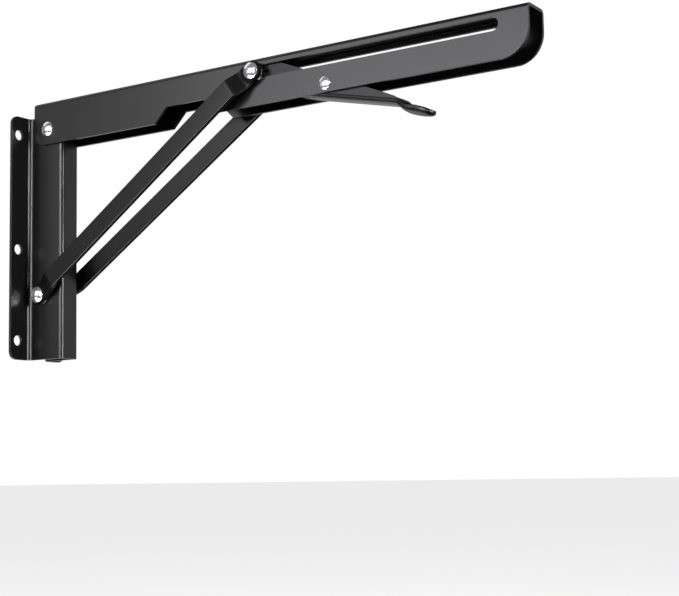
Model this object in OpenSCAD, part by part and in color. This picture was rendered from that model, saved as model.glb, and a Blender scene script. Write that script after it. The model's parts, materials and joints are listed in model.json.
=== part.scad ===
// Folding shelf bracket: a wall plate, a channel arm that folds down, two joggled braces whose
// upper ends slide along the arm, and a sprung lever that locks them.
// X runs out of the wall, Z up. The origin lies on the wall, midway between the corner screws.

/* [Sheet metal] */
// Thickness of the folded sheet
sheet = 2; // [1.5:0.1:2.2]
// Outer radius of the folds
fold_r = 3; // [2.5:0.1:3.5]
// Outer radius of the folds beside the ears
ear_fold_r = 5; // [4:0.1:5.2]
// Radial clearance of every rivet in its holes
rivet_gap = 0.05; // [0.02:0.01:0.1]

/* [Wall plate] */
// Height of the wall plate
plate_h = 177.5; // [172:0.5:190]
// Width over both ears
plate_w = 54; // [50:0.5:60]
// Distance of the front web from the wall
plate_depth = 33.5; // [32:0.5:35]
// Width of the plate's channel over its side walls
plate_channel_w = 17.2; // [16:0.1:17.3]
// Corner radius of the ears
ear_r = 6; // [3:0.5:8]
// Height between the top and bottom screw holes
screw_span = 150; // [140:1:155]
// Distance between the left and right screw holes
screw_w = 40; // [38:0.5:42]
// Drop of the middle screw holes below the top ones
screw_mid_drop = 84; // [70:1:90]
// Diameter of the wall screw holes
screw_d = 7.5; // [5:0.1:8]

/* [Arm] */
// Distance of the arm's pivot from the wall
pivot_x = 21.2; // [20:0.1:22]
// Height of the arm's pivot above the middle of the wall plate
pivot_z = 78.5; // [77:0.5:80]
// Reach of the arm from the wall
reach = 406; // [400:1:412]
// Width of the arm over its flanges
arm_w = 21.6; // [21.6:0.1:22.4]
// Height of the arm
arm_h = 31.5; // [31:0.1:33]
// Height of the shelf face above the pivot
arm_top = 20.3; // [20:0.1:21]
// Length of the arm behind its pivot
arm_tail = 13.2; // [12:0.1:13.5]
// Radius of the flanges' lower front corners
nose_r = 18; // [8:0.5:20]
// Radius of the flanges' lower rear corners
heel_r = 10; // [5:0.1:11.2]
// Start of the notch that clears the braces' feet, from the pivot
notch_start = 101.2; // [100:0.1:102]
// Length of the notch at the flange's edge
notch_len = 53; // [50:0.5:56]
// Run of each slanted end of the notch
notch_slant = 10.6; // [10:0.1:13]
// Height of the notch's roof against the pivot
notch_roof = -0.5; // [-0.5:0.1:0.9]
// Diameter of the shelf screw holes
shelf_screw_d = 5.5; // [4:0.5:6]
// Distance between the two holes of a pair
shelf_screw_pitch = 50; // [40:1:50]

/* [Slots] */
// Height of the slots' middle line above the pivot
slot_z = 10.8; // [10:0.1:11.2]
// Height of the slots
slot_w = 8.5; // [6.5:0.1:8.6]
// Front end of the slots, from the pivot
slot_end = 365.3; // [363:0.1:370]

/* [Braces] */
// Distance of the braces' foot pivot from the wall
foot_x = 13.3; // [13:0.1:13.6]
// Drop of the foot pivot below the arm's pivot
foot_drop = 120.8; // [120:0.1:122]
// Place of the braces' upper ends on the open arm, from its pivot
lock_s = 187.4; // [186:0.1:189]
// Width of a brace
brace_w = 13.3; // [12:0.1:14]
// Thickness of a brace
brace_t = 3.4; // [2.5:0.1:3.5]
// Outer face of the braces' long middle part, at its lower end
bar_y_low = 16.4; // [15.5:0.1:17]
// Outer face of the braces' long middle part, at its upper end
bar_y_high = 20.6; // [19.5:0.1:21]

/* [Lever] */
// Place of the lever's pivot, from the arm's pivot
lever_s = 241.9; // [241:0.1:243]
// Drop of the lever's pivot below the arm's pivot
lever_drop = 5.35; // [5:0.05:6]
// Slope of the lever's bottom against the arm
lever_slope = 12.8; // [12:0.1:14]
// Width of the lever over its sides
lever_w = 16.8; // [16:0.1:17]
// Depth of the lever's bottom below its pivot
lever_deep = 9.1; // [8.5:0.1:9.5]
// Wire diameter of the lever spring
wire_d = 1.2; // [1:0.1:1.4]
// Full turns of the lever spring
spring_turns = 5; // [4:1:6]

/* [Rivets] */
// Shank diameter of the two pivot rivets
pivot_d = 6; // [5:0.5:6]
// Shank diameter of the head and lever rivets
small_d = 5; // [4:0.5:5]
// Head diameter of the arm pivot rivet
arm_head_d = 10.5; // [9:0.5:12]
// Head diameter of the foot rivet
foot_head_d = 11.6; // [9:0.2:12]
// Head diameter of the braces' head rivets
brace_head_d = 11; // [9:0.5:12]
// Head diameter of the lever rivet
lever_head_d = 8.6; // [7:0.2:9]

/* [Hidden] */
$fn = 48;
eps = 0.01;
far = 100;
LEFT = -1;
RIGHT = 1;
black = [0.09, 0.09, 0.1];
steel = [0.8, 0.8, 0.82];
nylon = [0.85, 0.84, 0.8];

plate_in = plate_channel_w - 2 * sheet;
arm_len = reach - pivot_x + arm_tail;
arm_nose = reach - pivot_x;
arm_bottom = arm_top - arm_h;
screw_z = [screw_span / 2, screw_span / 2 - screw_mid_drop, -screw_span / 2];
shelf_holes = [50, 50 + shelf_screw_pitch, 375 - shelf_screw_pitch, 375];

// The braces' feet lie on washers, their heads pass clear over the lever rivet's heads
washer_t = 0.5;
washer_d = 13;
foot_y = plate_channel_w / 2 + washer_t;
side_gap = 0.1;
lever_head_h = 1.5;
head_y = arm_w / 2 + lever_head_h + side_gap;
collar_t = head_y - arm_w / 2 - 1.5 * side_gap;
brace_dx = pivot_x + lock_s - foot_x;
brace_dz = foot_drop + slot_z;
brace_len = norm([brace_dx, brace_dz]);
brace_angle = atan2(brace_dz, brace_dx);
foot_flat = 8;
foot_joggle = 17;
head_joggle = brace_len - 17.8;
head_flat = brace_len - 8.4;

lever_in = lever_w / 2 - sheet;
bush_d = 6.4;
coil_r = bush_d / 2 + 0.4 + wire_d / 2;

// Frames in which the moving pieces are drawn, as they stand with the arm open
module on_arm() translate([pivot_x, 0, pivot_z]) children();
module on_foot() translate([foot_x, 0, pivot_z - foot_drop]) children();
module on_brace() on_foot() rotate([0, -brace_angle, 0]) children();
module on_lever() on_arm() translate([lever_s, 0, -lever_drop]) rotate([0, lever_slope, 0]) children();

// A flat outline in X and Z, given thickness along Y between two distances from the middle
module across(y0, y1) translate([0, y1, 0]) rotate([90, 0, 0]) linear_extrude(y1 - y0) children();
module through_y() across(-far, far) children();

// A round rod along Y
module rod_y(r, y0, y1) translate([0, y0, 0]) rotate([-90, 0, 0]) cylinder(r = r, h = y1 - y0);
module bore_y(r) rod_y(r, -far, far);

// The waste outside a round corner that points to +X and +Y
module corner_waste(r) {
    difference() {
        translate([0, 0]) square(r + 1);
        circle(r);
    }
}

// A rectangle whose two upper corners are round, standing below y = 0
module round_top(w, h, r) {
    translate([-w / 2, -h]) square([w, h - r]);
    translate([-w / 2 + r, -r]) square([w - 2 * r, r]);
    for (side = [-1, 1]) translate([side * (w / 2 - r), -r]) circle(r);
}

// The section of a folded channel, its web at y = 0
module channel_section(w, h) {
    difference() {
        round_top(w, h, fold_r);
        translate([0, -sheet]) round_top(w - 2 * sheet, h, fold_r - sheet);
    }
}

// A bar with round ends, from the origin along +X
module link(length, w) {
    translate([0, -w / 2]) square([length, w]);
    circle(w / 2);
    translate([length, 0]) circle(w / 2);
}

// A path with its corners rounded by arcs of n steps
function unit(v) = v / norm(v);
function round_corner(a, b, c, r, n) = let(
    u = unit(a - b), v = unit(c - b),
    half = acos(u * v) / 2,
    reach_back = r / tan(half),
    centre = b + unit(u + v) * r / sin(half),
    p = b + u * reach_back - centre,
    q = b + v * reach_back - centre,
    turn = 180 - 2 * half,
    way = (p[0] * q[1] - p[1] * q[0]) > 0 ? 1 : -1
) [for (i = [0 : n]) let(t = way * turn * i / n)
    centre + [p[0] * cos(t) - p[1] * sin(t), p[0] * sin(t) + p[1] * cos(t)]];
function rounded(path, r, n) = [
    path[0],
    for (i = [1 : len(path) - 2]) each round_corner(path[i - 1], path[i], path[i + 1], r, n),
    path[len(path) - 1]
];

// A path moved sideways by t, mitred at its corners
function side_of(a, b) = let(d = unit(b - a)) [-d[1], d[0]];
function moved(path, t) = [for (i = [0 : len(path) - 1]) let(
    m = side_of(path[max(i - 1, 0)], path[max(i, 1)]),
    n = side_of(path[min(i, len(path) - 2)], path[min(i + 1, len(path) - 1)]),
    mid = unit(m + n)
) path[i] + mid * t / (mid * n)];
function reversed(list) = [for (i = [len(list) - 1 : -1 : 0]) list[i]];

// Half of a domed rivet head's section, on a face at y = 0
module dome_profile(d, h) {
    rim = 0.3 * h;
    ball = (pow(d / 2 + 0.04, 2) + pow(h - rim, 2)) / (2 * (h - rim));
    square([d / 2, rim]);
    translate([0, rim]) intersection() {
        square([d / 2, h - rim]);
        translate([0, h - rim - ball]) circle(ball, $fn = 96);
    }
}

// A rivet along Y with a head at each end
module through_rivet(shank_d, head_d, head_h, face_y) {
    rotate([90, 0, 0]) rotate_extrude() {
        translate([0, -face_y]) square([shank_d / 2, 2 * face_y]);
        for (side = [0, 1]) mirror([0, side]) translate([0, face_y]) dome_profile(head_d, head_h);
    }
}

// A spacer tube round a rivet, as long as the inside of the folded sheet
module spacer(outer_d, shank_d, length) {
    difference() {
        rod_y(outer_d / 2, -length / 2, length / 2);
        bore_y(shank_d / 2 + rivet_gap);
    }
}

// Wall plate: the hat section runs the whole height
module hat_half() {
    bend_y = plate_channel_w / 2 + ear_fold_r - sheet;
    translate([0, bend_y]) square([sheet, plate_w / 2 - bend_y]);
    intersection() {
        translate([ear_fold_r, bend_y]) difference() {
            circle(ear_fold_r);
            circle(ear_fold_r - sheet);
        }
        translate([0, bend_y - ear_fold_r]) square(ear_fold_r);
    }
}

module hat_section() {
    for (side = [0, 1]) mirror([0, side]) hat_half();
    translate([plate_depth, 0]) rotate(-90) channel_section(plate_channel_w, plate_depth - ear_fold_r);
}

module ear_hole(y, z) translate([-1, y, z]) rotate([0, 90, 0]) cylinder(d = screw_d, h = sheet + 2);

module wall_plate() color(black) difference() {
    translate([0, 0, -plate_h / 2]) linear_extrude(plate_h) hat_section();
    for (side = [0, 1], end = [0, 1]) mirror([0, side, 0]) mirror([0, 0, end])
        translate([-1, plate_w / 2 - ear_r, plate_h / 2 - ear_r])
            rotate([90, 0, 90]) linear_extrude(sheet + 2) corner_waste(ear_r);
    for (side = [LEFT, RIGHT], z = screw_z) ear_hole(side * screw_w / 2, z);
    on_arm() bore_y(pivot_d / 2 + rivet_gap);
    on_foot() bore_y(pivot_d / 2 + rivet_gap);
}

module arm_pivot_sleeve() color(steel) on_arm() spacer(9, pivot_d, plate_in);
module foot_sleeve() color(steel) on_foot() spacer(9, pivot_d, plate_in);

module foot_washer(side) color(nylon) on_foot() scale([1, side, 1]) difference() {
    rod_y(washer_d / 2, plate_channel_w / 2, foot_y);
    bore_y(pivot_d / 2 + rivet_gap);
}
module foot_washer_left() foot_washer(LEFT);
module foot_washer_right() foot_washer(RIGHT);

// Arm: the flanges' outline, cut from the folded channel
module flange_outline() {
    top_r = 2;
    difference() {
        translate([-arm_tail, arm_bottom]) square([arm_len, arm_h]);
        translate([-arm_tail + top_r, arm_top - top_r]) mirror([1, 0]) corner_waste(top_r);
        translate([-arm_tail + heel_r, arm_bottom + heel_r]) rotate(180) corner_waste(heel_r);
        translate([arm_nose - nose_r, arm_bottom + nose_r]) mirror([0, 1]) corner_waste(nose_r);
        polygon([
            [notch_start, arm_bottom], [notch_start + notch_slant, notch_roof],
            [notch_start + notch_len - notch_slant, notch_roof], [notch_start + notch_len, arm_bottom],
            [notch_start + notch_len, arm_bottom - 1], [notch_start, arm_bottom - 1]
        ]);
    }
}

module arm() color(black) on_arm() difference() {
    intersection() {
        translate([-arm_tail, 0, arm_top]) rotate([90, 0, 90]) linear_extrude(arm_len)
            channel_section(arm_w, arm_h);
        through_y() flange_outline();
    }
    through_y() translate([lock_s, slot_z]) link(slot_end - slot_w / 2 - lock_s, slot_w);
    bore_y(pivot_d / 2 + rivet_gap);
    translate([lever_s, 0, -lever_drop]) bore_y(small_d / 2 + rivet_gap);
    for (s = shelf_holes) translate([s, 0, arm_top - sheet - 1]) cylinder(d = shelf_screw_d, h = sheet + 2);
    translate([spring_anchor[0], 0, spring_anchor[1]]) rod_y(wire_d / 2 + 0.1, 0, far);
}

module arm_pivot_rivet() color(steel) on_arm() through_rivet(pivot_d, arm_head_d, 2.6, arm_w / 2);

// Braces: a joggled strip, cut to a bar with round ends
module brace_strip() {
    outer = rounded([
        [-brace_w / 2 - 1, foot_y + brace_t], [foot_flat, foot_y + brace_t], [foot_joggle, bar_y_low],
        [head_joggle, bar_y_high], [head_flat, head_y + brace_t],
        [brace_len + brace_w / 2 + 1, head_y + brace_t]
    ], 7, 5);
    polygon(concat(outer, reversed(moved(outer, -brace_t))));
}

module brace(side) color(black) on_brace() scale([1, side, 1]) difference() {
    intersection() {
        translate([0, 0, -brace_w / 2 - 1]) linear_extrude(brace_w + 2) brace_strip();
        across(0, far) link(brace_len, brace_w);
    }
    rod_y(pivot_d / 2 + rivet_gap, 0, far);
    translate([brace_len, 0, 0]) rod_y(small_d / 2 + rivet_gap, 0, far);
}
module brace_left() brace(LEFT);
module brace_right() brace(RIGHT);

module foot_rivet() color(steel) on_foot() through_rivet(pivot_d, foot_head_d, 2.8, foot_y + brace_t);

// The head rivets end flush in the braces, because the braces part from the sliders here
module head_rivet(side) color(steel) on_brace() translate([brace_len, 0, 0]) scale([1, side, 1])
    rotate([-90, 0, 0]) rotate_extrude() {
        translate([0, head_y]) square([small_d / 2, brace_t]);
        translate([0, head_y + brace_t]) dome_profile(brace_head_d, 2.5);
    }
module head_rivet_left() head_rivet(LEFT);
module head_rivet_right() head_rivet(RIGHT);

// Sliders: a stub in the slot with a collar between the flange and the brace
module slider(side) color(steel) on_arm() translate([lock_s, 0, slot_z]) scale([1, side, 1]) {
    rod_y(slot_w / 2 - side_gap, arm_w / 2 - sheet + side_gap, arm_w / 2 + side_gap);
    rod_y(slot_w / 2 + 1.5, arm_w / 2 + side_gap / 2, arm_w / 2 + side_gap / 2 + collar_t);
}
module slider_left() slider(LEFT);
module slider_right() slider(RIGHT);

// Lever: hook plates behind, a round-bottomed channel under the pivot, a dished tab in front
lever_back = -22;
tab_start = 42;
tab_end = 78;
lock_u = (lock_s - lever_s) * cos(lever_slope) - (slot_z + lever_drop) * sin(lever_slope);
lock_v = (lock_s - lever_s) * sin(lever_slope) + (slot_z + lever_drop) * cos(lever_slope);

// Depth of the bottom, height of its edges, fold radius and width factor along the lever
function bottom_v(u) = lookup(u, [
    [lever_back, -lever_deep], [51, -lever_deep], [53.5, -9.6], [55.8, -10.8], [58.3, -12.3], [60.8, -13.2],
    [64, -13.7], [68, -13.95], [72, -13.95], [75, -13.7], [tab_end, -13]
]);
function ramp_v(u) = -2.1 - 0.17 * (u - tab_start);
function rise(u) = u < tab_start ? ramp_v(u) + lever_deep
    : lookup(u, [
        [tab_start, lever_deep - 2.1], [53.5, 4.7], [58.5, 3.7], [62, 4.3], [66, 4.7], [70, 4.3],
        [74, 3.2], [tab_end, 0.9]
    ]);
function lever_r(u) = lookup(u, [[50, 4], [56, 5], [64, 7]]);
function tip_factor(u) = u < tab_end - 7 ? 1 : sqrt(1 - pow((u - tab_end + 7) / 7.15, 2));

// The section of the folded lever: outer fold radius r, edges risen by h above the outer bottom
function half_section(r, h) = let(
    x = lever_w / 2 - r,
    last = h < r ? acos(1 - h / r) : 90,
    more = max(h - r, 0.2)
) [
    [0, 0],
    for (i = [0 : 6]) [x + r * sin(last * i / 6), r - r * cos(last * i / 6)],
    [x + r * sin(last) + more * cos(last), r - r * cos(last) + more * sin(last)]
];
function full_section(r, h) = let(
    half = half_section(r, h),
    outer = concat([for (i = [len(half) - 1 : -1 : 1]) [-half[i][0], half[i][1]]], half)
) concat(outer, reversed(moved(outer, sheet)));
function lever_ring(u) = [for (p = full_section(lever_r(u), rise(u)))
    [u, p[0] * tip_factor(u), bottom_v(u) + p[1]]];

module lever_tab() {
    stations = [
        tab_start, for (u = [tab_start + 2 : 2.4 : tab_end - 8]) u,
        for (a = [0, 22, 38, 54, 72, 90]) tab_end - 7 + 7 * sin(a)
    ];
    rings = [for (u = stations) lever_ring(u)];
    m = len(rings[0]);
    n = len(rings);
    polyhedron(
        points = [for (ring = rings) each ring],
        faces = [
            for (j = [0 : m / 2 - 2]) each let(a = j, b = m - 1 - j, c = (n - 1) * m)
                [[a, a + 1, b], [a + 1, b - 1, b], [c + a, c + b, c + a + 1], [c + a + 1, c + b, c + b - 1]],
            for (i = [0 : n - 2], j = [0 : m - 1]) each let(
                a = i * m + j, b = i * m + (j + 1) % m
            ) [[a, a + m, b], [b, a + m, b + m]]
        ]
    );
}

module lever_side() {
    notch_r = 3.9;
    difference() {
        polygon([
            [tab_start, -lever_deep - 1], [lever_back, -lever_deep - 1], [lever_back, -7.9], [-30, -5],
            [-50, -4.2], [lock_u - 7.3, lock_v - 6], [lock_u - 7.3, lock_v + 4.6], [lock_u - 5.4, lock_v + 6],
            [lock_u + notch_r, lock_v + 6], [-47.5, 11.8], [-44.5, 12.4], [-41.5, ramp_v(-41.5)],
            [tab_start, ramp_v(tab_start)]
        ]);
        translate([lock_u, lock_v]) circle(notch_r);
        translate([lock_u - notch_r, lock_v]) square([2 * notch_r, 20]);
        translate([lock_u + 7, lock_v + 1.9]) circle(1.6);
    }
}

module release_lever() color(black) on_lever() difference() {
    union() {
        intersection() {
            translate([-70, 0, -lever_deep]) rotate([90, 0, 90]) linear_extrude(70 + tab_start)
                polygon(full_section(lever_r(0), 30));
            through_y() lever_side();
        }
        lever_tab();
    }
    bore_y(small_d / 2 + rivet_gap);
}

module lever_rivet() color(steel) on_arm() translate([lever_s, 0, -lever_drop])
    through_rivet(small_d, lever_head_d, lever_head_h, arm_w / 2);
module lever_bush() color(steel) on_arm() translate([lever_s, 0, -lever_drop])
    spacer(bush_d, small_d, 2 * lever_in - 2 * side_gap);

// Lever spring: a wound wire, one leg on the lever's bottom, the other in a hole of the right flange
spring_anchor = [lever_s + 13, 1.5];
anchor = [13, 1.5 + lever_drop];
rest = [15, -(lever_deep - sheet - wire_d / 2 - 0.05)];
coil_half = spring_turns * (wire_d + 0.15) / 2;
end_angle = atan2(anchor[1], anchor[0]) + acos(coil_r / norm(anchor));
rest_angle = atan2(rest[1], rest[0]) - acos(coil_r / norm(rest)) - lever_slope;
coil_sweep = 360 * spring_turns - (end_angle - rest_angle);

function spring_path() = let(steps = spring_turns * 16) concat(
    [[
        rest[0] * cos(lever_slope) + rest[1] * sin(lever_slope), -coil_half,
        rest[1] * cos(lever_slope) - rest[0] * sin(lever_slope)
    ]],
    [for (i = [0 : steps]) let(a = rest_angle - coil_sweep * i / steps)
        [coil_r * cos(a), -coil_half + 2 * coil_half * i / steps, coil_r * sin(a)]],
    [
        [anchor[0] - 1.4, coil_half + 0.2, anchor[1] + 0.1],
        [anchor[0] - 0.4, coil_half + 0.8, anchor[1] + 0.1],
        [anchor[0], coil_half + 1.8, anchor[1]],
        [anchor[0], arm_w / 2 - 0.2, anchor[1]]
    ]
);

module wire(path, d, sides) {
    n = len(path);
    dirs = [for (i = [0 : n - 1]) unit(path[min(i + 1, n - 1)] - path[max(i - 1, 0)])];
    function frame_x(i) = let(guide = abs(dirs[i][1]) > 0.9 ? [1, 0, 0] : [0, 1, 0]) unit(cross(guide, dirs[i]));
    points = [for (i = [0 : n - 1]) let(
        e = frame_x(i), f = cross(dirs[i], e)
    ) for (j = [0 : sides - 1]) let(a = 360 * j / sides)
        path[i] + (e * cos(a) + f * sin(a)) * d / 2];
    polyhedron(
        points = points,
        faces = [
            [for (j = [0 : sides - 1]) j],
            [for (j = [0 : sides - 1]) n * sides - 1 - j],
            for (i = [0 : n - 2], j = [0 : sides - 1]) each let(
                a = i * sides + j, b = i * sides + (j + 1) % sides
            ) [[a, a + sides, b], [b, a + sides, b + sides]]
        ]
    );
}

module lever_spring() color(steel) on_arm() translate([lever_s, 0, -lever_drop])
    wire(spring_path(), wire_d, 8);

wall_plate();
arm_pivot_sleeve();
foot_sleeve();
foot_washer_left();
foot_washer_right();
arm();
arm_pivot_rivet();
lever_rivet();
lever_bush();
lever_spring();
release_lever();
brace_left();
brace_right();
foot_rivet();
head_rivet_left();
head_rivet_right();
slider_left();
slider_right();
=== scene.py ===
import json
import math
import bmesh
import bpy
from mathutils import Matrix, Vector

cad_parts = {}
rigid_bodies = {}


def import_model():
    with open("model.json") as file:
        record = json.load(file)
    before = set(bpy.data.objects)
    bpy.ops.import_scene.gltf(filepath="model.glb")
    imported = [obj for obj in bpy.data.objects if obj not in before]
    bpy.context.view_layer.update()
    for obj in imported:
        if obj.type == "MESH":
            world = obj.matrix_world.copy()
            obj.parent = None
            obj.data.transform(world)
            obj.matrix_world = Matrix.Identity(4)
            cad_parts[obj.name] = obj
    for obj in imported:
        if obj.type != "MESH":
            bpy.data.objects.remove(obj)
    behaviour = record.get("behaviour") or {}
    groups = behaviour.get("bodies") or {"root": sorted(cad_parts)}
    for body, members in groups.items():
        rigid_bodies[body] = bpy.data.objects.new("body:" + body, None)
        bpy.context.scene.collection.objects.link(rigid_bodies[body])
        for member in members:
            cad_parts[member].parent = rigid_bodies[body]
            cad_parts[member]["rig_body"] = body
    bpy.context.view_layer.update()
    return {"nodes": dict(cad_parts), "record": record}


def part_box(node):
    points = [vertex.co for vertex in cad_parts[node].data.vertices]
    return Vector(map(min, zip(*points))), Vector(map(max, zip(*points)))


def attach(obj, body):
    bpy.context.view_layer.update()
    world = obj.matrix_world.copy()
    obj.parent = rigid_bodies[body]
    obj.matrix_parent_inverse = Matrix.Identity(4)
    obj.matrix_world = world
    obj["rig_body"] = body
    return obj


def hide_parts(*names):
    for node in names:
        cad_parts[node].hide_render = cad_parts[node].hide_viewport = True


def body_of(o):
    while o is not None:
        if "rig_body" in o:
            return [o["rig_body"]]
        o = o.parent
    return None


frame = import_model()
nodes = frame["nodes"]
scene = bpy.context.scene
slots = {part["node"]: part["material_slot"] for part in frame["record"]["subparts"]}

# Width in metres of the rounding that the coat gives to every punched edge of the folded sheets
SHEET_EDGE = {
    "wall_plate": 0.0004,
    "arm": 0.0007,
    "brace_left": 0.0006,
    "brace_right": 0.0006,
    "release_lever": 0.0002,
}
# Width of the same rounding on rivets, sleeves, washers and the other small pieces
SMALL_EDGE = 0.00012
EDGE_STEPS = 2
EDGE_ANGLE = math.radians(40)
# Corners of a mesh that lie nearer than this are one corner
SAME_CORNER = 0.000004
# Edges shorter than this are taken out, and faces that turn by less than this angle are joined
SHORT_EDGE = 0.000002
SAME_PLANE = math.radians(0.3)
# Round wire: its mesh needs no rounded edges
SPRING = "lever_spring"

# A blue tint takes this share from green of what it takes from red
GREEN_SHARE = 0.6
# A Mix node's colour sockets, by number, because its number sockets have the same names
MIX_FACTOR = 0
MIX_DARK = 6
MIX_LIGHT = 7
MIX_RESULT = 2

# Lowest roughness of the black coat, and how much its patches and its grain each add
COAT_ROUGHNESS = 0.27
COAT_SPREAD = 0.04
# Share of the coat's bump that is its peel, where the rest is its grain
PEEL_SHARE = 0.7
# How far round its two pivots a brace's coat is rougher and darkened with painted shade, and the soft
# border of that place
FOOT_DULL_SHADE = 0.0175
HEAD_DULL_SHADE = 0.0095
BORDER_INSIDE = 0.002
BORDER_OUTSIDE = 0.0005
DULL_ROUGHNESS = 0.6
# How far Metallic on the near-black base darkens those places: painted shade
PIVOT_PAINTED_SHADE = 0.75

# The photograph's frame and the camera that was fitted to it
IMAGE_WIDTH_PX = 679
FOCAL_LENGTH_PX = 1440.5141
SENSOR_MM = 36.0
YAW = math.radians(33.0413)
PITCH = math.radians(6.6646)
ROLL = math.radians(-1.0849)
CAMERA_PLACE = (0.755546, -0.755279, -0.168768)
CLIP_NEAR = 0.02
CLIP_FAR = 60.0

# Brightness of the white room as the object mirrors it, and as the camera sees it
ROOM_ON_OBJECT = 0.09
ROOM_IN_VIEW = 1.0
LAMP_COLOUR = (0.975, 0.97, 1.0)
WHITE = (1.0, 1.0, 1.0, 1.0)

FLOOR_Z = -0.42
FLOOR_HALF_WIDTH = 20.0
FLOOR_COLOUR = (0.9, 0.9, 0.9, 1.0)
FLOOR_ROUGHNESS = 0.9
FLOOR_GLOW = 0.75


class Sock:
    """A shader socket or a number, so that shader maths reads as arithmetic."""

    def __init__(self, mat, value):
        self.mat = mat
        self.value = value

    def _math(self, op, a, b=None, clamp=False):
        node = self.mat.tree.nodes.new("ShaderNodeMath")
        node.operation = op
        node.use_clamp = clamp
        for i, part in enumerate((a, b)):
            if part is not None:
                self.mat.feed(node.inputs[i], part)
        return Sock(self.mat, node.outputs[0])

    def __add__(self, other):
        return self._math("ADD", self, other)

    def __radd__(self, other):
        return self._math("ADD", other, self)

    def __sub__(self, other):
        return self._math("SUBTRACT", self, other)

    def __rsub__(self, other):
        return self._math("SUBTRACT", other, self)

    def __mul__(self, other):
        return self._math("MULTIPLY", self, other)

    def __rmul__(self, other):
        return self._math("MULTIPLY", other, self)

    def __truediv__(self, other):
        return self._math("DIVIDE", self, other)

    def __rtruediv__(self, other):
        return self._math("DIVIDE", other, self)

    def root(self):
        return self._math("SQRT", self)

    def clamped(self):
        return self._math("ADD", self, 0.0, clamp=True)

    def ramp(self, low, high):
        """0 at low, 1 at high, smooth between and level outside."""
        t = ((self - low) / (high - low)).clamped()
        return t * t * (3.0 - 2.0 * t)


class Mat:
    """A node material: maths through Sock, every other node through node()."""

    def __init__(self, name):
        self.material = bpy.data.materials.new(name)
        self.material.use_nodes = True
        self.tree = self.material.node_tree
        self.tree.nodes.clear()
        self.shader = self.tree.nodes.new("ShaderNodeBsdfPrincipled")
        surface = self.tree.nodes.new("ShaderNodeOutputMaterial").inputs["Surface"]
        self.tree.links.new(self.shader.outputs["BSDF"], surface)
        self.point = Sock(self, self.node("ShaderNodeTexCoord").outputs["Object"])
        place = self.node("ShaderNodeSeparateXYZ", inputs={"Vector": self.point}).outputs
        self.x = Sock(self, place["X"])
        self.z = Sock(self, place["Z"])

    def feed(self, socket, part):
        """Links a socket, or sets it to a number or a colour."""
        if isinstance(part, Sock):
            part = part.value
        if isinstance(part, bpy.types.NodeSocket):
            self.tree.links.new(part, socket)
        else:
            socket.default_value = part

    def node(self, kind, settings=None, inputs=None):
        """Any node: its settings first, then the values or links of its sockets."""
        made = self.tree.nodes.new(kind)
        for key, value in (settings or {}).items():
            setattr(made, key, value)
        for key, value in (inputs or {}).items():
            self.feed(made.inputs[key], value)
        return made

    def set(self, **values):
        """Constants and links on the shader, by socket name with _ for a space."""
        for key, value in values.items():
            self.feed(self.shader.inputs[key.replace("_", " ")], value)

    def noise(self, scale, detail, roughness):
        made = self.node(
            "ShaderNodeTexNoise",
            inputs={"Vector": self.point, "Scale": scale, "Detail": detail, "Roughness": roughness},
        )
        return Sock(self, made.outputs["Fac"])

    def mix(self, factor, dark, light):
        """A colour between two, by a factor from 0 to 1."""
        made = self.node(
            "ShaderNodeMix",
            settings={"data_type": "RGBA"},
            inputs={MIX_FACTOR: factor, MIX_DARK: dark, MIX_LIGHT: light},
        )
        return Sock(self, made.outputs[MIX_RESULT])

    def bump(self, height, strength, distance):
        made = self.node(
            "ShaderNodeBump", inputs={"Height": height, "Strength": strength, "Distance": distance}
        )
        self.set(Normal=made.outputs["Normal"])


def grey(value, tint=0.0):
    """A grey, or a slightly blue one where tint is above 0."""
    red = value * (1 - tint)
    green = value * (1 - GREEN_SHARE * tint)
    blue = value * (1 + tint)
    return (red, green, blue, 1.0)


def powder_coat(name, gloss, dull_and_shaded_places=()):
    """Satin black; dull_and_shaded_places lists round places, as x, z and radius, where the coat is
    rougher and darkened with painted shade.
    """
    mat = Mat(name)
    patches = mat.noise(scale=38.0, detail=3.0, roughness=0.55)
    grain = mat.noise(scale=1500.0, detail=3.0, roughness=0.6)
    peel = mat.noise(scale=620.0, detail=1.0, roughness=0.4)
    rough = COAT_ROUGHNESS + COAT_SPREAD * patches + COAT_SPREAD * grain
    # Round the pivots the coat is rougher, and its Metallic setting darkens it there: painted shade
    painted_shade = 0.0
    for x, z, radius in dull_and_shaded_places:
        across = mat.x - x
        along = mat.z - z
        distance = (across * across + along * along).root()
        near = 1.0 - distance.ramp(radius - BORDER_INSIDE, radius + BORDER_OUTSIDE)
        rough = rough + near * (DULL_ROUGHNESS - rough)
        painted_shade = painted_shade + near
    mat.set(
        Base_Color=mat.mix(patches, dark=grey(0.002, 0.03), light=grey(0.004, 0.03)),
        Roughness=rough,
        Metallic=PIVOT_PAINTED_SHADE * painted_shade,
        Specular_IOR_Level=gloss,
        IOR=1.5,
    )
    mat.bump(PEEL_SHARE * peel + (1.0 - PEEL_SHARE) * grain, strength=0.05, distance=0.0004)
    return mat.material


def bright_rivet():
    """Bright steel, nearly polished, with faint streaks."""
    mat = Mat("rivet_steel")
    streaks = mat.noise(scale=900.0, detail=2.0, roughness=0.6)
    clouds = mat.noise(scale=160.0, detail=2.0, roughness=0.5)
    mat.set(
        Base_Color=mat.mix(clouds, dark=grey(0.78), light=grey(0.92, 0.01)),
        Metallic=0.88,
        Roughness=0.14 + 0.1 * streaks,
    )
    mat.bump(streaks, strength=0.12, distance=0.0002)
    return mat.material


def zinc(name, brightest, smoothest):
    """Zinc-plated steel, slightly cloudy, by its brightest grey and its lowest roughness."""
    mat = Mat(name)
    clouds = mat.noise(scale=240.0, detail=3.0, roughness=0.6)
    mat.set(
        Base_Color=mat.mix(clouds, dark=grey(0.8 * brightest), light=grey(brightest, 0.02)),
        Metallic=1.0,
        Roughness=smoothest + 0.12 * clouds,
    )
    mat.bump(clouds, strength=0.1, distance=0.0002)
    return mat.material


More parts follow.
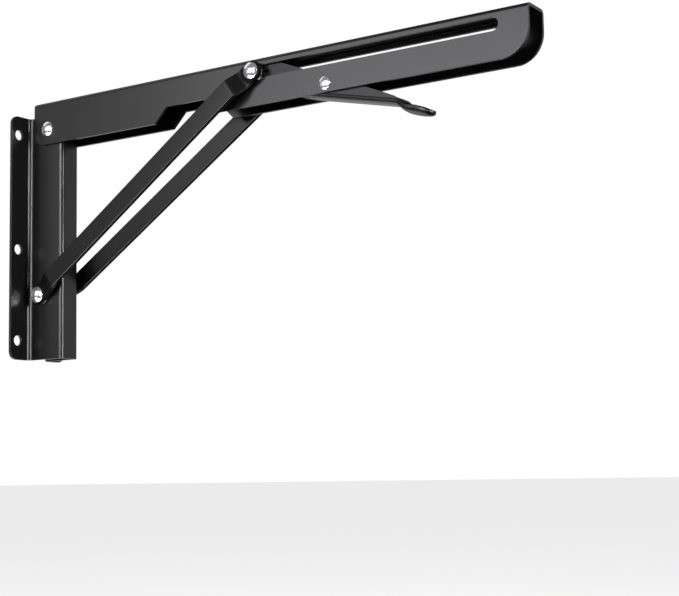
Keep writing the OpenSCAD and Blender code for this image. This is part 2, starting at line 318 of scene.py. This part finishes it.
def nylon():
    """Off-white plastic."""
    mat = Mat("washer_plastic")
    clouds = mat.noise(scale=200.0, detail=2.0, roughness=0.5)
    mat.set(
        Base_Color=mat.mix(clouds, dark=(0.6, 0.58, 0.52, 1.0), light=(0.72, 0.7, 0.64, 1.0)),
        Roughness=0.45,
        Subsurface_Weight=0.1,
        Subsurface_Radius=(0.002, 0.002, 0.002),
    )
    return mat.material


def round_place(rivet, radius):
    """A round place about a rivet, as x, z and radius."""
    low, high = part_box(rivet)
    return ((low[0] + high[0]) / 2, (low[2] + high[2]) / 2, radius)


materials = {
    "black_coat": powder_coat("black_coat", gloss=0.5),
    "rivet_steel": bright_rivet(),
    "sleeve_steel": zinc("sleeve_steel", brightest=0.62, smoothest=0.32),
    "spring_steel": zinc("spring_steel", brightest=0.42, smoothest=0.3),
    "washer_plastic": nylon(),
}

# The braces' and the lever's coats are less glossy than the arm's and the plate's
brace_coat = powder_coat(
    "black_coat_braces",
    gloss=0.285,
    dull_and_shaded_places=[round_place("foot_rivet", FOOT_DULL_SHADE), round_place("head_rivet_left", HEAD_DULL_SHADE)],
)
coats = {
    "brace_left": brace_coat,
    "brace_right": brace_coat,
    "release_lever": powder_coat("black_coat_lever", gloss=0.28),
}


def soften(piece, width):
    """Rounds the sharp edges and keeps the flat faces flat in the light."""
    bevel = piece.modifiers.new("edge", "BEVEL")
    bevel.width = width
    bevel.segments = EDGE_STEPS
    bevel.limit_method = "ANGLE"
    bevel.angle_limit = EDGE_ANGLE
    bevel.miter_outer = "MITER_ARC"
    flatten = piece.modifiers.new("normals", "WEIGHTED_NORMAL")
    flatten.mode = "FACE_AREA"
    flatten.weight = 100
    flatten.keep_sharp = False


def sheet_copy(name):
    """The node's own shape with its coplanar triangles joined, so that the edge rounding runs clean."""
    node = nodes[name]
    bm = bmesh.new()
    bm.from_mesh(node.data)
    bm.transform(node.matrix_world)
    bmesh.ops.remove_doubles(bm, verts=bm.verts[:], dist=SAME_CORNER)
    bmesh.ops.dissolve_degenerate(bm, dist=SHORT_EDGE, edges=bm.edges[:])
    bmesh.ops.dissolve_limit(bm, angle_limit=SAME_PLANE, verts=bm.verts[:], edges=bm.edges[:])
    for face in bm.faces:
        face.smooth = True
    mesh = bpy.data.meshes.new(name + "_sheet")
    bm.to_mesh(mesh)
    bm.free()
    mesh.materials.append(coats.get(name, materials[slots[name]]))
    piece = bpy.data.objects.new(name + "_sheet", mesh)
    scene.collection.objects.link(piece)
    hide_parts(name)
    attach(piece, body_of(node)[0])
    soften(piece, SHEET_EDGE[name])


def finish_small(name, piece):
    """Gives a node that stays as it is its finish and softened edges."""
    piece.data.materials.clear()
    piece.data.materials.append(materials[slots[name]])
    for face in piece.data.polygons:
        face.use_smooth = True
    if name != SPRING:
        piece.modifiers.new("weld", "WELD").merge_threshold = SAME_CORNER
        soften(piece, SMALL_EDGE)


for name, piece in nodes.items():
    if name in SHEET_EDGE:
        sheet_copy(name)
    else:
        finish_small(name, piece)


def place_camera():
    """The camera at the photograph's angle: it looks along forward, with up at the top of the picture."""
    forward = Vector((
        -math.sin(YAW) * math.cos(PITCH),
        math.cos(YAW) * math.cos(PITCH),
        math.sin(PITCH),
    ))
    level = Vector((math.cos(YAW), math.sin(YAW), 0.0))
    upright = level.cross(forward)
    right = math.cos(ROLL) * level + math.sin(ROLL) * upright
    up = -math.sin(ROLL) * level + math.cos(ROLL) * upright
    camera = bpy.data.objects.new("camera", bpy.data.cameras.new("camera"))
    camera.data.sensor_width = SENSOR_MM
    camera.data.lens = FOCAL_LENGTH_PX / IMAGE_WIDTH_PX * SENSOR_MM
    camera.data.clip_start = CLIP_NEAR
    camera.data.clip_end = CLIP_FAR
    turn = Matrix((right, up, -forward)).transposed().to_4x4()
    camera.matrix_world = Matrix.Translation(CAMERA_PLACE) @ turn
    scene.collection.objects.link(camera)
    scene.camera = camera


def white_room():
    """A plain world that is white to the camera and dimmer to the object."""
    world = bpy.data.worlds.new("room")
    world.use_nodes = True
    room = world.node_tree
    background = room.nodes["Background"]
    background.inputs["Color"].default_value = WHITE
    rays = room.nodes.new("ShaderNodeLightPath")
    brightness = room.nodes.new("ShaderNodeMix")
    brightness.inputs["A"].default_value = ROOM_ON_OBJECT
    brightness.inputs["B"].default_value = ROOM_IN_VIEW
    room.links.new(rays.outputs["Is Camera Ray"], brightness.inputs["Factor"])
    room.links.new(brightness.outputs["Result"], background.inputs["Strength"])
    scene.world = world


def lamp(name, place, aim, size, radiance):
    """A soft rectangular lamp that the camera doesn't see, of a width and height in metres."""
    data = bpy.data.lights.new(name, "AREA")
    data.shape = "RECTANGLE"
    data.size, data.size_y = size
    data.energy = radiance * math.pi * size[0] * size[1]
    data.color = LAMP_COLOUR
    obj = bpy.data.objects.new(name, data)
    obj.location = place
    obj.rotation_mode = "QUATERNION"
    obj.rotation_quaternion = (Vector(aim) - Vector(place)).to_track_quat("-Z", "Y")
    obj.visible_camera = False
    scene.collection.objects.link(obj)


def pale_floor():
    """A wide plain floor that the object doesn't mirror."""
    bm = bmesh.new()
    bmesh.ops.create_grid(
        bm,
        x_segments=1,
        y_segments=1,
        size=FLOOR_HALF_WIDTH,
        matrix=Matrix.Translation((0.0, 0.0, FLOOR_Z)),
    )
    mesh = bpy.data.meshes.new("floor")
    bm.to_mesh(mesh)
    bm.free()
    floor = bpy.data.objects.new("floor", mesh)
    material = bpy.data.materials.new("floor")
    material.use_nodes = True
    sockets = material.node_tree.nodes["Principled BSDF"].inputs
    sockets["Base Color"].default_value = FLOOR_COLOUR
    sockets["Roughness"].default_value = FLOOR_ROUGHNESS
    sockets["Emission Color"].default_value = WHITE
    sockets["Emission Strength"].default_value = FLOOR_GLOW
    mesh.materials.append(material)
    scene.collection.objects.link(floor)
    floor.visible_diffuse = False
    floor.visible_glossy = False


place_camera()
white_room()

# The key lies low, where the near flange and the braces' flats mirror it; fill adds a little at their left
lamp("key", (-0.26, -1.2145, 0.31), aim=(0.2, 0.0, 0.05), size=(0.78, 0.58), radiance=5.0)
lamp("fill", (-1.05, -1.2, 0.3), aim=(0.1, 0.0, 0.0), size=(0.8, 0.6), radiance=0.6)
# For the arm's upper bends, and for the faces that look straight out from the wall
lamp("upper_left", (-0.75, -0.1, 0.95), aim=(0.15, 0.0, 0.07), size=(0.9, 0.8), radiance=0.9)
lamp("side", (1.1, 1.2, 0.1), aim=(0.1, 0.0, 0.0), size=(1.2, 1.1), radiance=0.65)
# Two narrow strips draw the light lines along the wall plate's folds
lamp("strip_front", (0.32, -1.37, 0.22), aim=(0.03, 0.0, 0.0), size=(0.12, 0.6), radiance=52.0)
lamp("strip_right", (1.42, -0.146, 0.22), aim=(0.03, 0.0, 0.0), size=(0.12, 0.6), radiance=78.0)
# From below: low draws the lower edges of the arm and the braces, low_left lights the lever's sides
lamp("low", (0.2, -0.75, -0.75), aim=(0.15, 0.0, 0.05), size=(1.2, 0.4), radiance=26.0)
lamp("low_left", (-0.46, -0.74, -0.48), aim=(0.3, 0.0, 0.05), size=(0.6, 0.4), radiance=3.0)
# From behind: the underside of the arm's web mirrors horizon, and the lever's round bottom under
lamp("horizon", (-0.75, 1.25, -0.05), aim=(0.2, 0.0, 0.07), size=(1.8, 0.7), radiance=0.75)
lamp("under", (-0.45, 0.35, -0.7), aim=(0.3, 0.0, 0.05), size=(0.8, 0.8), radiance=2.2)

pale_floor()
scene.view_settings.view_transform = "Standard"
